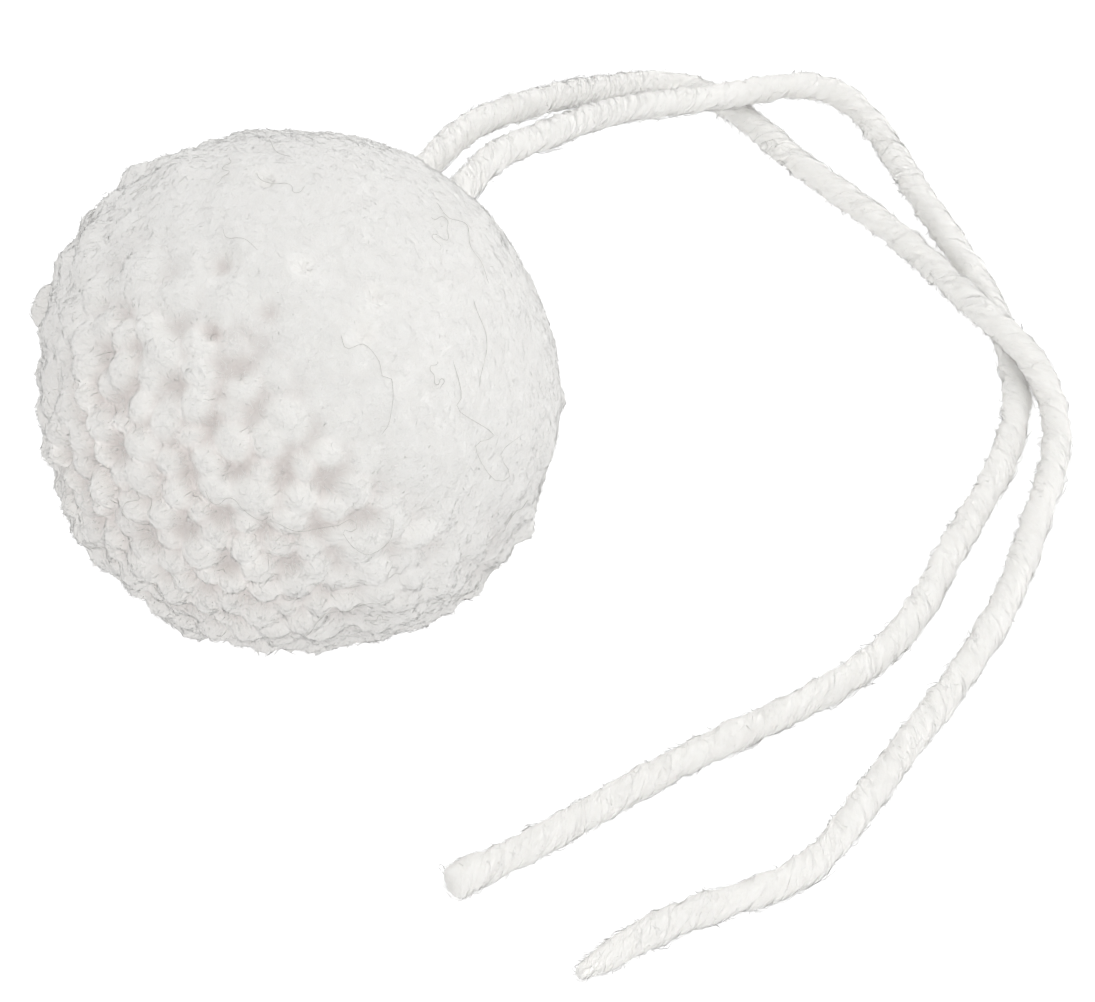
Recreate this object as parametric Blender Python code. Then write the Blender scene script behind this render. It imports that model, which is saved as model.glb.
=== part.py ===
"""A yarn pom pom with the two free ends of its tie, lying on a flat surface.

The ball is one solid: a core whose surface is split into a grid of cells, with one tapered,
round-topped lock of yarn drawn out of each cell. The locks share the core and stand apart
above it. The locks under the ball are shorter and end level on the surface. Two cells hold
short seats in place of locks, and the two tails of the tie come out of the ball there. Each
tail is a four-ply cord with its twist, laid along its own route down to the surface.

Lengths are in millimetres here and are turned into metres as each mesh is made.
+Z is up, the surface is z = 0, and the middle of the ball is above the origin.
"""

import math
import random

import bmesh
import bpy
from mathutils import Matrix, Vector

MM = 0.001
SEED = 7

# The ball. A grid of 7 by 7 cells on each of a cube's six sides, blown up to a sphere, gives
# 294 cells. Two are seats for the tails, so there are 292 locks.
BALL_RADIUS = 25.0
FLAT_DEPTH = 1.5  # the weight of the ball presses it this much flat underneath
CENTRE = Vector((0.0, 0.0, BALL_RADIUS - FLAT_DEPTH))
DOWN = Vector((0.0, 0.0, -1.0))
CORE_RADIUS = 9.0
CELLS_A_SIDE = 7
CELL_ANGLE = math.radians(90 / CELLS_A_SIDE)
BALL_TURN = math.radians(57.5)  # the ball's turn about Z, which sets where the tails leave
SWIRL = math.radians(28)  # each side's cells wind round its middle by this much
SWIRL_REACH = math.radians(48)  # and no longer wind this far from it
CELL_WANDER = 1.15  # how far a cell's corner strays at the ball's surface
LONGER, SHORTER = 0.7, 1.0  # how much longer and shorter than the ball a lock may be

# A lock's rings, from its shoulder to its tip: depth below the tip, and width as a share of
# the cell. The tenth that is missing at the shoulder is the gap between neighbours.
LOCK_RINGS = ((2.7, 0.90), (0.9, 0.70), (0.0, 0.34))
LEVEL_RINGS = ((2.7, 0.90), (0.8, 0.80), (0.0, 0.55))  # spread where it stands on its tip
SEAT_RINGS = ((1.2, 0.90), (0.6, 0.90), (0.0, 0.88))  # blunt, for a tail's end to rest on

# One loose end stands proud at the left of the ball.
PROUD_WAY = Vector((-25.0, 6.5, 5.5)).normalized()
PROUD_LENGTH = 1.6

# The tails. Both start on a seat inside the ball and run through the gap above it.
GAP = 0.3  # clearance between a tail and what it touches
SEAT_RADIUS = 17.5
LEAD = 5.0  # a tail first runs straight out from its seat
YARN_DIAMETER = 3.0
PLIES = 4
LAY = 7.5  # length of one full turn of the plies
STEPS_A_TURN = 12  # rings along one turn, which keep each ply a smooth ridge
RELAX_PASSES = 36  # evens the bends out, as the yarn's own stiffness does

# Each tail leaves through the cell that looks most nearly its way. Its route is x, y and the
# height of the yarn's middle. It drops to the surface behind the ball, and the tails cross
# twice, tail_b over tail_a first and tail_a over tail_b next.
TAIL_A_WAY = Vector((12.0, 32.0, 1.0)).normalized()
TAIL_A_ROUTE = (
    (10.0, 26.5, 24.5),
    (14.5, 35.0, 23.5),
    (19.0, 42.0, 20.5),
    (24.0, 49.5, 15.5),
    (29.0, 57.0, 10.0),
    (32.5, 62.0, 6.0),
    (36.5, 66.0, 3.0),
    (41.5, 66.5, 1.6),
    (46.5, 62.0, 1.5),
    (52.5, 54.0, 1.5),
    (59.5, 46.5, 1.5),
    (65.0, 39.5, 1.5),
    (68.5, 32.5, 3.2),
    (71.0, 26.5, 5.1),
    (74.5, 21.5, 5.2),
    (77.0, 16.0, 2.6),
    (76.5, 10.5, 1.5),
    (74.0, 3.5, 1.5),
    (71.0, -5.0, 1.5),
    (67.5, -12.0, 1.5),
    (62.5, -20.0, 1.5),
    (57.0, -27.5, 1.5),
    (52.0, -35.0, 1.5),
    (47.5, -40.5, 1.5),
    (41.0, -43.0, 1.5),
    (34.0, -46.0, 1.5),
    (27.5, -50.5, 1.5),
)
TAIL_B_WAY = Vector((14.5, 24.0, 0.0)).normalized()
TAIL_B_ROUTE = (
    (14.5, 24.0, 24.8),
    (18.5, 31.5, 24.2),
    (23.0, 37.5, 21.0),
    (27.5, 45.0, 16.5),
    (33.0, 52.5, 11.5),
    (39.0, 58.5, 7.0),
    (45.0, 61.5, 5.2),
    (51.0, 64.0, 4.4),
    (56.0, 65.5, 3.0),
    (60.0, 63.0, 1.6),
    (63.0, 56.0, 1.5),
    (66.5, 46.5, 1.5),
    (70.0, 38.0, 1.5),
    (72.5, 30.0, 1.5),
    (73.5, 22.0, 1.5),
    (72.5, 14.0, 1.5),
    (69.0, 6.0, 1.5),
    (64.5, -2.0, 1.5),
    (60.5, -10.0, 1.5),
    (55.0, -16.5, 1.5),
    (47.5, -21.5, 1.5),
    (38.5, -26.5, 1.5),
    (30.0, -32.0, 1.5),
    (22.0, -37.5, 1.5),
    (15.0, -41.5, 1.8),
)
END_LENGTH = 6.0  # the stretch over which a tail's far end changes its thickness
TAIL_A_END = 0.55  # drawn to a point, as a share of the yarn's thickness
TAIL_B_END = 1.12  # cut blunt, where the plies have opened a little

YARN_COLOUR = (0.83, 0.82, 0.79, 1.0)
YARN_ROUGHNESS = 0.95


def clear_scene():
    for obj in list(bpy.data.objects):
        bpy.data.objects.remove(obj)


def yarn_material(name):
    material = bpy.data.materials.new(name)
    material.use_nodes = True
    shader = material.node_tree.nodes["Principled BSDF"]
    shader.inputs["Base Color"].default_value = YARN_COLOUR
    shader.inputs["Roughness"].default_value = YARN_ROUGHNESS
    shader.inputs["Metallic"].default_value = 0.0
    return material


def show(name, data):
    obj = bpy.data.objects.new(name, data)
    bpy.context.collection.objects.link(obj)
    return obj


def swirled(direction):
    """The direction, wound round the middle of the cube's side that it lies on."""
    side = max(range(3), key=lambda axis: abs(direction[axis]))
    middle = Vector([math.copysign(1.0, direction[side]) * (axis == side) for axis in range(3)])
    nearness = max(0.0, 1.0 - direction.angle(middle, 0.0) / SWIRL_REACH)
    return Matrix.Rotation(SWIRL * nearness**1.5, 3, middle) @ direction


def ball_grid():
    """The core: a cube's sides cut into cells, their corners spread evenly over a sphere."""
    grid = bmesh.new()
    bmesh.ops.create_cube(grid, size=2.0)
    bmesh.ops.subdivide_edges(grid, edges=grid.edges[:], cuts=CELLS_A_SIDE - 1, use_grid_fill=True)
    turn = Matrix.Rotation(BALL_TURN, 3, "Z")
    for corner in grid.verts:
        even = Vector([math.tan(value * math.pi / 4) for value in corner.co]).normalized()
        corner.co = turn @ swirled(even) * CORE_RADIUS
    return grid


def strayed(directions, kept):
    """Each corner's direction at the ball's surface: a little off, unless it is to be kept."""
    dice = random.Random(SEED)
    found = []
    for index, direction in enumerate(directions):
        step = Vector([dice.uniform(-1.0, 1.0) for _ in range(3)]) * CELL_WANDER / BALL_RADIUS
        found.append(direction if index in kept else (direction + step).normalized())
    return found


class Lock:
    """One lock, or a seat in its place: the rays of its cell's corners, its tip and rings."""

    def __init__(self, inner, outer, length, rings, tip_plane=None):
        self.inner, self.outer = inner, outer
        self.length, self.rings, self.tip_plane = length, rings, tip_plane

    def corners(self, ring):
        """The four corners of one ring, which close in on the lock's own middle line."""
        depth, width = self.rings[ring]
        radius = self.length - depth
        share = (radius - CORE_RADIUS) / (BALL_RADIUS - CORE_RADIUS)
        rays = [low.lerp(high, share).normalized() for low, high in zip(self.inner, self.outer)]
        middle = sum(rays, Vector()) / len(rays)
        points = [(middle + (ray - middle) * width) * radius for ray in rays]
        if depth == 0.0 and self.tip_plane:
            points = [self.on_tip_plane(point) for point in points]
        return [CENTRE + point for point in points]

    def on_tip_plane(self, point):
        normal, height = self.tip_plane
        return point + normal * (height - point.dot(normal))


def make_lock(middle, inner, outer, dice):
    """The lock of one cell: longer or shorter by chance, and level where it meets the surface."""
    length = BALL_RADIUS + dice.uniform(-SHORTER, LONGER)
    to_surface = CENTRE.z / middle.dot(DOWN) if middle.dot(DOWN) > 0.0 else math.inf
    if to_surface < BALL_RADIUS:
        return Lock(inner, outer, to_surface, LEVEL_RINGS, (DOWN, CENTRE.z))
    if middle.angle(PROUD_WAY) < CELL_ANGLE / 2:
        length = BALL_RADIUS + PROUD_LENGTH
    return Lock(inner, outer, length, LOCK_RINGS)


def build_ball():
    """One lock drawn out of each cell of the core, a ring at a time. Returns the seats' ways."""
    grid = ball_grid()
    inner = [corner.co.normalized() for corner in grid.verts]
    cells = [[corner.index for corner in face.verts] for face in grid.faces]
    middles = [sum((inner[i] for i in cell), Vector()).normalized() for cell in cells]
    seats = [min(middles, key=way.angle) for way in (TAIL_A_WAY, TAIL_B_WAY)]

    steady = [*seats, min(middles, key=DOWN.angle)]
    kept = {i for cell, middle in zip(cells, middles) if middle in steady for i in cell}
    outer = strayed(inner, kept)
    dice = random.Random(SEED + 1)
    locks = []
    for cell, middle in zip(cells, middles):
        low, high = [inner[i] for i in cell], [outer[i] for i in cell]
        lock = make_lock(middle, low, high, dice)
        if middle in seats:
            lock = Lock(low, high, SEAT_RADIUS, SEAT_RINGS, (middle, SEAT_RADIUS))
        locks.append(lock)

    owner = grid.faces.layers.int.new("lock")
    tops = grid.faces[:]
    for index, face in enumerate(tops):
        face[owner] = index
    for corner in grid.verts:
        corner.co += CENTRE
    for ring in range(len(LOCK_RINGS)):
        tops = bmesh.ops.extrude_discrete_faces(grid, faces=tops)["faces"]
        for face in tops:
            for corner, place in zip(face.verts, locks[face[owner]].corners(ring)):
                corner.co = place
    bmesh.ops.recalc_face_normals(grid, faces=grid.faces[:])
    bmesh.ops.scale(grid, vec=(MM, MM, MM), verts=grid.verts[:])

    mesh = bpy.data.meshes.new("pom_pom")
    grid.to_mesh(mesh)
    grid.free()
    mesh.shade_smooth()
    mesh.set_sharp_from_angle(angle=math.radians(50))
    mesh.materials.append(yarn_material("pom_pom_yarn"))
    show("pom_pom", mesh)
    return seats


def smooth_curve(route, samples=16):
    """A curve through the route's points: a Catmull-Rom spline."""
    ends = [route[0] * 2 - route[1], *route, route[-1] * 2 - route[-2]]
    found = []
    for before, start, end, after in zip(ends, ends[1:], ends[2:], ends[3:]):
        for step in range(samples):
            t = step / samples
            found.append(
                0.5
                * (
                    start * 2
                    + (end - before) * t
                    + (before * 2 - start * 5 + end * 4 - after) * t**2
                    + (start * 3 - before - end * 3 + after) * t**3
                )
            )
    return [*found, route[-1]]


def evenly_spaced(points, spacing):
    """Points at equal steps along the line, as near to the spacing as fits its length."""
    lengths = [(after - before).length for before, after in zip(points, points[1:])]
    count = round(sum(lengths) / spacing)
    step = sum(lengths) / count
    found, travelled, target = [points[0]], 0.0, step
    for before, after, length in zip(points, points[1:], lengths):
        while travelled + length >= target and len(found) < count:
            found.append(before.lerp(after, (target - travelled) / length))
            target += step
        travelled += length
    return [*found, points[-1]]


def relaxed(points):
    """The line with its sharper bends evened out, never lower than lying on the surface."""
    lowest = YARN_DIAMETER / 2
    for _ in range(RELAX_PASSES):
        inner = [
            (before + here * 2 + after) / 4
            for before, here, after in zip(points, points[1:], points[2:])
        ]
        points = [points[0], *inner, points[-1]]
    return [Vector((point.x, point.y, max(point.z, lowest))) for point in points]


def ply_section():
    """The yarn's section: one corner for each ply. Only a guide, which the tails sweep."""
    curve = bpy.data.curves.new("ply_section", "CURVE")
    curve.dimensions = "2D"
    spline = curve.splines.new("POLY")
    spline.points.add(PLIES - 1)
    for index, point in enumerate(spline.points):
        angle = -index * math.tau / PLIES  # clockwise, so that the swept sides face outwards
        x, y = math.cos(angle), math.sin(angle)
        point.co = (x * YARN_DIAMETER / 2 * MM, y * YARN_DIAMETER / 2 * MM, 0.0, 1.0)
    spline.use_cyclic_u = True
    guide = show("ply_section", curve)
    guide.hide_render = True
    guide.display_type = "WIRE"
    return guide


def build_tail(name, seat, route, end_share, section):
    """A tail: the ply section swept along the route, turning as it goes."""
    start = CENTRE + seat * (SEAT_RADIUS + GAP)
    places = smooth_curve([start, start + seat * LEAD, *(Vector(point) for point in route)])
    places = relaxed(evenly_spaced(places, LAY / STEPS_A_TURN))

    curve = bpy.data.curves.new(name, "CURVE")
    curve.dimensions = "3D"
    curve.twist_mode = "MINIMUM"
    curve.bevel_mode = "OBJECT"
    curve.bevel_object = section
    curve.use_fill_caps = True
    spline = curve.splines.new("POLY")
    spline.points.add(len(places) - 1)
    end_steps = END_LENGTH * STEPS_A_TURN / LAY
    for index, (point, place) in enumerate(zip(spline.points, places)):
        point.co = (*(place * MM), 1.0)
        point.tilt = -index * math.tau / STEPS_A_TURN  # an S twist
        near_end = max(0.0, 1.0 - (len(places) - 1 - index) / end_steps)
        point.radius = 1.0 + (end_share - 1.0) * near_end**2
    curve.materials.append(yarn_material(name + "_yarn"))
    tail = show(name, curve)
    corners = tail.modifiers.new("ply ridges", "TRIANGULATE")
    corners.quad_method = "SHORTEST_DIAGONAL"


def main():
    clear_scene()
    seat_a, seat_b = build_ball()
    section = ply_section()
    build_tail("tail_a", seat_a, TAIL_A_ROUTE, TAIL_A_END, section)
    build_tail("tail_b", seat_b, TAIL_B_ROUTE, TAIL_B_END, section)


main()
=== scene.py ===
import math

import bpy
import numpy as np
from bpy.props import FloatProperty, FloatVectorProperty, IntProperty, PointerProperty
from bpy.types import Operator, Panel, PropertyGroup
from mathutils import Matrix, Vector


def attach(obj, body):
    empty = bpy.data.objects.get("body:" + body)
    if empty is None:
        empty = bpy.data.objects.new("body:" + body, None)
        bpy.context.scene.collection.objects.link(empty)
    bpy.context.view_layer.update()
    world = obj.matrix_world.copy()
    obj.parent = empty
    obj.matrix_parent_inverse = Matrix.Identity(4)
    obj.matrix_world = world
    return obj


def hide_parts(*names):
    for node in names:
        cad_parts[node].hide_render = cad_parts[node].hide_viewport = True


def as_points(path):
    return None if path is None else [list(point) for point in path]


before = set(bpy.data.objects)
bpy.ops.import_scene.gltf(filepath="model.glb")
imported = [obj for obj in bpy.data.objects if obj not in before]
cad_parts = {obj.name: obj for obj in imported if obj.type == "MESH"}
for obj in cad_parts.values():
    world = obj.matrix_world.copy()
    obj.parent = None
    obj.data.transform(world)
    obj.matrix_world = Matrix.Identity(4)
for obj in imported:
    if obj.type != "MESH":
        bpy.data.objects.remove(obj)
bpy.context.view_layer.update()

bl_info = {
    "name": "Yarn Pom Pom",
    "version": (1, 0, 0),
    "blender": (4, 5, 0),
    "location": "View3D > Sidebar > Pom Pom",
    "description": "A wool-like pom pom with the free ends of its tie, and the stage it lies on",
    "category": "Add Mesh",
}

MM = 0.001
TENTHS = 10000.0  # tenths of a millimetre in a metre
BODY = "root"

# The ball rests at the origin. Its middle is this high, its underside pressed flat by its weight.
CENTRE = np.array([0.0, 0.0, 0.0235])
TABLE = 0.00003  # the lowest that any yarn lies, a hair above the table

# Ways out of the ball. The tails leave through their own cells at the back, and one loose end
# stands proud at the left. The ball is trimmed closest up and to the right, and its ends are
# loosest at the front, a little to the left.
TAIL_A_SEAT = np.array([0.342, 0.938, 0.055])
TAIL_B_SEAT = np.array([0.537, 0.843, 0.0])
PROUD_WAY = np.array([-25.0, 6.5, 5.5])
TRIM_WAY = np.array([0.60, 0.12, 0.79])
LOOSE_WAY = np.array([-0.26, -0.88, 0.40])

# Where the clipped ball stands a little fuller or flatter than a sphere: way, then metres.
LUMPS = (
    ((0.71, -0.54, -0.46), 0.0009),
    ((0.10, -0.78, -0.62), -0.0010),
    ((-0.62, 0.60, 0.50), 0.0006),
    ((-0.97, -0.05, -0.04), -0.0014),
    ((-0.60, -0.61, -0.52), -0.0006),
    ((-0.10, 0.76, 0.64), -0.0009),
    ((0.87, 0.38, 0.32), -0.0001),
    ((-0.30, -0.73, -0.62), 0.0006),
)

# The tails' routes: x, y and the height of the yarn's middle, in tenths of a millimetre. They drop
# to the table behind the ball and cross twice. They are the CAD's, but for tail B's last point.
TAIL_A_ROUTE = (
    (100, 265, 245), (145, 350, 235), (190, 420, 205), (240, 495, 155), (290, 570, 100),
    (325, 620, 60), (365, 660, 30), (415, 665, 16), (465, 620, 15), (525, 540, 15),
    (595, 465, 15), (650, 395, 15), (685, 325, 32), (710, 265, 51), (745, 215, 52),
    (770, 160, 26), (765, 105, 15), (740, 35, 15), (710, -50, 15), (675, -120, 15),
    (625, -200, 15), (570, -275, 15), (520, -350, 15), (475, -405, 15), (410, -430, 15),
    (340, -460, 15), (275, -505, 15),
)
TAIL_B_ROUTE = (
    (145, 240, 248), (185, 315, 242), (230, 375, 210), (275, 450, 165), (330, 525, 115),
    (390, 585, 70), (450, 615, 52), (510, 640, 44), (560, 655, 30), (600, 630, 16),
    (630, 560, 15), (665, 465, 15), (700, 380, 15), (725, 300, 15), (735, 220, 15),
    (725, 140, 15), (690, 60, 15), (645, -20, 15), (605, -100, 15), (550, -165, 15),
    (475, -215, 15), (385, -265, 15), (300, -320, 15), (220, -375, 15), (157, -411, 17),
)
SEAT_RADIUS = 0.0178  # where the tails start, out from the middle of the ball
LEAD = 0.005  # and how far each runs straight out from there
PLIES = 4
END_LENGTH = 0.006  # the stretch over which a tail's far end changes its thickness
TAIL_A_END, TAIL_B_END = 0.55, 1.24  # narrowed and spread, as shares of the yarn's thickness
CAP_SHARES = (0.95, 0.78, 0.45)  # the cut end's low dome: its rings' thickness as shares,
CAP_PAST = (0.0003, 0.00065, 0.0009)  # and how far past the end they and its tip stand
CAP_TIP = 0.00096

# How the ball's surface is put together: heights in metres, and how fast each falls off.
FILL, FILL_FALL = 0.0009, 8.0  # what the soft maximum adds where the ends are trimmed
FLOOR_DEPTH = 0.0017  # how far under the general face the creases end
SEAT_DRAW, SEAT_FALL = 0.0007, 110.0  # the rise round each tail's seat
GAP_DEPTH, GAP_FALL = 0.0011, 1300.0
SHARP, SHARPER = 1400.0, 4600.0  # the soft maximum's sharpness, and what looseness adds to it
COUNTED = (0.955, 0.99)  # the cosines from its own way at which an end counts first and fully
CREASE_SHADE_DEPTHS = (0.0002, 0.0015)  # the painted shade of the creases comes in between these depths
PROUD_LONGER, PROUD_CREASE = 0.0020, 0.0045  # the end that stands proud
RIPPLE = 0.000012  # the height of each small wave
AWAY_SHADE = 0.22  # the share of the painted shade laid over the side that leans away from the trimmed face

FIBRE_SIDES = 3
ASKEW = np.array([0.31, 0.17, 0.93])  # a slanted way that the fibres' sides are squared to

# The camera: where it stands, its tilt and lens, and the ways right and up in its view and to it.
CAMERA_AT = (0.024048, -0.191752, 0.235575)
CAMERA_TILT = math.radians(40.0)
CAMERA_LENS = 98.63
VIEW_RIGHT = np.array([1.0, 0.0, 0.0])
VIEW_UP = np.array([0.0, 0.766, 0.643])
VIEW_FRONT = np.array([0.0, -0.643, 0.766])

# Places on the side of the ball that the camera sees, as millimetres right and up from the
# ball's middle: small gaps that stay open between the trimmed ends, and long stray hairs.
GAP_PLACES = (
    (-1.2, 18.7), (-4.6, 10.5), (2.7, 10.1), (9.4, 7.7), (-0.2, 6.2), (-5.5, 4.3), (8.2, 4.1),
    (-2.9, 0.5),
)
LAID_HAIRS = (
    ((15.5, 2.0), (16.3, -1.1), (16.0, -2.5), (19.1, -4.6), (17.4, -5.6), (19.1, -8.6),
     (20.5, -8.1), (19.7, -6.2), (21.6, -4.3)),
    ((0.1, -12.5), (2.6, -13.5), (5.7, -13.1), (6.6, -12.5), (7.4, -13.0), (6.9, -13.5),
     (5.9, -13.2), (6.7, -14.5), (8.1, -15.0), (9.9, -14.0), (10.4, -11.9)),
    ((6.0, 4.1), (6.5, 2.7), (8.0, 3.1), (9.2, 1.7), (9.5, 0.3), (10.3, -0.1), (10.1, -3.5),
     (9.4, -4.8)),
    ((13.9, 16.5), (14.9, 14.9), (16.5, 14.4), (17.0, 12.5), (18.0, 11.1), (18.7, 9.0)),
    ((-4.6, 13.5), (-4.2, 12.6), (-2.5, 12.2), (-1.3, 11.2)),
    ((17.5, 7.6), (18.7, 3.8), (17.9, -0.6)),
    ((1.7, -23.0), (3.8, -21.1), (8.3, -19.5), (10.0, -19.2)),
    ((-1.6, 23.1), (-0.4, 21.0), (1.0, 20.6)),
    ((-17.7, 17.2), (-18.3, 14.9), (-18.3, 11.9)),
)


# ---- settings

class BallSettings(PropertyGroup):
    """The clipped ball and its yarn ends."""

    radius: FloatProperty(
        name="Radius", description="From the ball's middle to the clipped ends",
        default=0.0252, unit="LENGTH", subtype="DISTANCE")
    ends: IntProperty(
        name="Yarn ends", description="How many clipped ends cover the ball",
        default=700, min=200, max=900)
    end_width: FloatProperty(
        name="End width", description="How far from its middle line an end falls off",
        default=0.0026, unit="LENGTH", subtype="DISTANCE")
    crease: FloatProperty(
        name="Crease depth", description="How deep an end falls off into the creases",
        default=0.0026, unit="LENGTH", subtype="DISTANCE")
    fineness: IntProperty(
        name="Fineness", description="Cells along each side of the surface's grid",
        default=126, min=20, max=128)
    trimmed: FloatProperty(
        name="Trimmed unevenness", description="How much the ends' lengths differ where trimmed",
        default=0.0012, unit="LENGTH", subtype="DISTANCE")
    loose: FloatProperty(
        name="Loose unevenness", description="How much they differ where the yarn is loose",
        default=0.0006, unit="LENGTH", subtype="DISTANCE")
    seed: IntProperty(name="Seed", description="Which arrangement of ends is made", default=7)


class TailSettings(PropertyGroup):
    """The two free ends of the tie."""

    diameter: FloatProperty(
        name="Yarn diameter", description="Thickness of the yarn over its plies",
        default=0.003, unit="LENGTH", subtype="DISTANCE")
    lay: FloatProperty(
        name="Lay", description="Length of one full turn of the plies",
        default=0.0075, unit="LENGTH", subtype="DISTANCE")
    nap: IntProperty(
        name="Nap", description="Short fibre tips along each tail",
        default=5200, min=0, max=8000)
    curls: IntProperty(
        name="Curls", description="Longer loose fibres along each tail",
        default=1800, min=0, max=4000)
    seed: IntProperty(name="Seed", description="Which unevenness is made", default=21)


class FuzzSettings(PropertyGroup):
    """The loose fibres over the ball."""

    nap: IntProperty(
        name="Nap", description="Short fibre tips over the ball's yarn ends",
        default=30000, min=0, max=60000)
    curls: IntProperty(
        name="Curls", description="Longer curled fibres over the ball's yarn ends",
        default=5000, min=0, max=20000)
    thickness: FloatProperty(
        name="Fibre thickness", description="Thickness of one loose fibre",
        default=0.000065, precision=6, unit="LENGTH", subtype="DISTANCE")
    hairs: IntProperty(
        name="Stray hairs", description="Long stray hairs laid over the ball by chance",
        default=26, min=0, max=200)
    seed: IntProperty(name="Seed", description="Which fuzz is made", default=12)


class FinishSettings(PropertyGroup):
    """The colours of the yarn, and those of its painted shade."""

    light: FloatVectorProperty(
        name="Yarn", description="Colour of the yarn where it is lightest",
        default=(0.922, 0.917, 0.898), subtype="COLOR", min=0.0, max=1.0)
    # The yarn turns towards this dull colour partly along the streaks, as painted shade between the
    # fibres, and partly at random.
    shade: FloatVectorProperty(
        name="Yarn shade", description="Colour of the yarn where it is dullest",
        default=(0.880, 0.871, 0.848), subtype="COLOR", min=0.0, max=1.0)
    # Painted shade: this colour stands in for the shade deep in the creases between the ends, and
    # for the shade on the side that leans away from the trimmed face.
    painted_shade: FloatVectorProperty(
        name="Yarn in hollows", description="Colour of the yarn deep between the ends",
        default=(0.74, 0.70, 0.68), subtype="COLOR", min=0.0, max=1.0)
    # Painted shade: the tails are the ball's yarn, drawn this share darker to even out the more
    # open light they lie in.
    tail: FloatProperty(
        name="Tail tone", description="The twisted tails' colour as a share of the ball's",
        default=0.97, min=0.5, max=1.1, subtype="FACTOR")
    # Painted shade: the stray hairs are fibres of the same white yarn, drawn grey for the shade on
    # them.
    hair: FloatVectorProperty(
        name="Stray hair", description="Colour of the long stray hairs",
        default=(0.64, 0.63, 0.60), subtype="COLOR", min=0.0, max=1.0)
    roughness: FloatProperty(
        name="Roughness", description="Roughness of the yarn", default=0.92,
        min=0.0, max=1.0, subtype="FACTOR")


class StageSettings(PropertyGroup):
    """The table and the light."""

    floor: FloatVectorProperty(
        name="Table", description="Colour of the table",
        default=(0.55, 0.55, 0.55), subtype="COLOR", min=0.0, max=1.0)
    glow: FloatProperty(
        name="Table glow", description="Light that the table sends up by itself",
        default=0.75, min=0.0)
    board: FloatVectorProperty(
        name="Board", description="Colour that the table throws back on the yarn",
        default=(0.5, 0.5, 0.5), subtype="COLOR", min=0.0, max=1.0)
    board_glow: FloatProperty(
        name="Board glow", description="Light that the board sends up by itself",
        default=0.46, min=0.0)
    key: FloatProperty(
        name="Key light", description="Power of the large lamp above, at the right",
        default=0.66, min=0.0, unit="POWER")
    sky: FloatProperty(
        name="Surrounding light", description="Strength of the even light from all round",
        default=0.83, min=0.0)


# ---- shader sums

class Wire:
    """A socket in a material's node tree. Sums written on it add Math nodes."""

    def __init__(self, finish, socket):
        self.finish, self.socket = finish, socket

    def _sum(self, operation, *values):
        return self.finish.node("ShaderNodeMath", {"operation": operation}, dict(enumerate(values)))

    def __add__(self, other):
        return self._sum("ADD", self, other)

    def __rsub__(self, other):
        return self._sum("SUBTRACT", other, self)

    def __mul__(self, other):
        return self._sum("MULTIPLY", self, other)

    __rmul__ = __mul__


class Finish:
    """A material under construction."""

    def __init__(self, name):
        self.material = bpy.data.materials.new(name)
        self.material.use_nodes = True
        self.tree = self.material.node_tree
        self.tree.nodes.clear()
        self.whole = self.node("ShaderNodeTexCoord", output="Object")

    def node(self, kind, settings=None, sockets=None, output=0):
        """A node of this kind: its settings first, then the value or link of each socket."""
        made = self.tree.nodes.new(kind)
        for key, value in (settings or {}).items():
            setattr(made, key, value)
        for key, value in (sockets or {}).items():
            if isinstance(value, Wire):
                self.tree.links.new(value.socket, made.inputs[key])
            elif made.inputs[key].type == "RGBA":
                made.inputs[key].default_value = (*value, 1.0)
            else:
                made.inputs[key].default_value = value
        return Wire(self, made.outputs[output]) if made.outputs else None

    def noise(self, scale, detail=2.0, roughness=0.5, vector=None):
        """Soft noise about 0.5 over the object, or over another vector, with features about
        1 / scale across."""
        return self.node(
            "ShaderNodeTexNoise", None,
            {"Vector": vector or self.whole, "Scale": scale, "Detail": detail,
             "Roughness": roughness})

    def ramp(self, value, low, high):
        """0 below low, 1 above high and even between."""
        return self.node(
            "ShaderNodeMapRange", {"clamp": True},
            {"Value": value, "From Min": low, "From Max": high})

    def mix(self, factor, first, second):
        """The first colour where the factor is 0 and the second where it is 1."""
        return self.node(
            "ShaderNodeMix", {"data_type": "RGBA"}, {0: factor, 6: first, 7: second}, output=2)

    def close(self, colour, roughness, bump=None, depth=0.0, sheen=0.0, gloss=0.25, glow=0.0,
              soft=0.0):
        """The Principled shader and the material's output. soft is how far light wanders
        inside."""
        sockets = {"Base Color": colour, "Roughness": roughness, "Sheen Weight": sheen,
                   "Sheen Roughness": 0.6, "Specular IOR Level": gloss,
                   "Emission Color": (1.0, 1.0, 1.0), "Emission Strength": glow,
                   "Subsurface Weight": float(soft > 0.0), "Subsurface Scale": soft,
                   "Subsurface Radius": (1.0, 0.97, 0.93)}
        if bump is not None:
            sockets["Normal"] = self.node(
                "ShaderNodeBump", None, {"Strength": 1.0, "Distance": depth, "Height": bump})
        shader = self.node("ShaderNodeBsdfPrincipled", {"subsurface_method": "BURLEY"}, sockets)
        self.node("ShaderNodeOutputMaterial", None, {"Surface": shader})
        return self.material


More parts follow.
